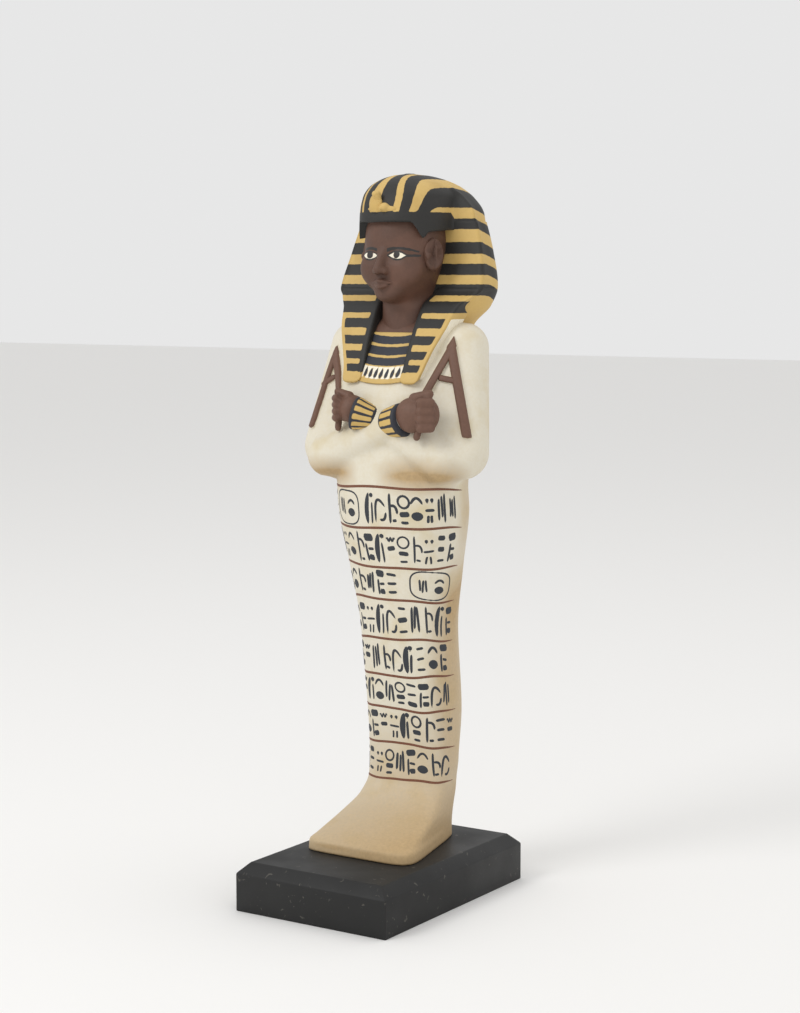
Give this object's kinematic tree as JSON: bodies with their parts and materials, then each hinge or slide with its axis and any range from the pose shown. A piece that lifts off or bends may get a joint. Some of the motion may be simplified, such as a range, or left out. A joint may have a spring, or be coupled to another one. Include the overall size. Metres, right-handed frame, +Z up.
{
  "type": "ushabti figurine",
  "caption": "Painted mummy-shaped Egyptian funerary figurine with crossed arms, hoes and a striped royal headcloth, cast in one and standing on a chamfered black plinth.",
  "frame": {"origin": "centre of the plinth's underside, on the surface that the part stands on", "axes": "+Z up, the figure faces -Y, its left hand is on the +X side"},
  "size_m": [0.0944, 0.115, 0.3273],
  "materials": {
    "painted_cast": "matt hand paint over a cream cast body: brown skin and hoes, black and ochre headcloth, navy and ochre collar and bracelets, dark strokes",
    "plinth_black": "satin black lacquer, rubbed lighter along the edges"
  },
  "bodies": {
    "root": {"figure": "painted_cast", "plinth": "plinth_black"}
  },
  "joints": []
}
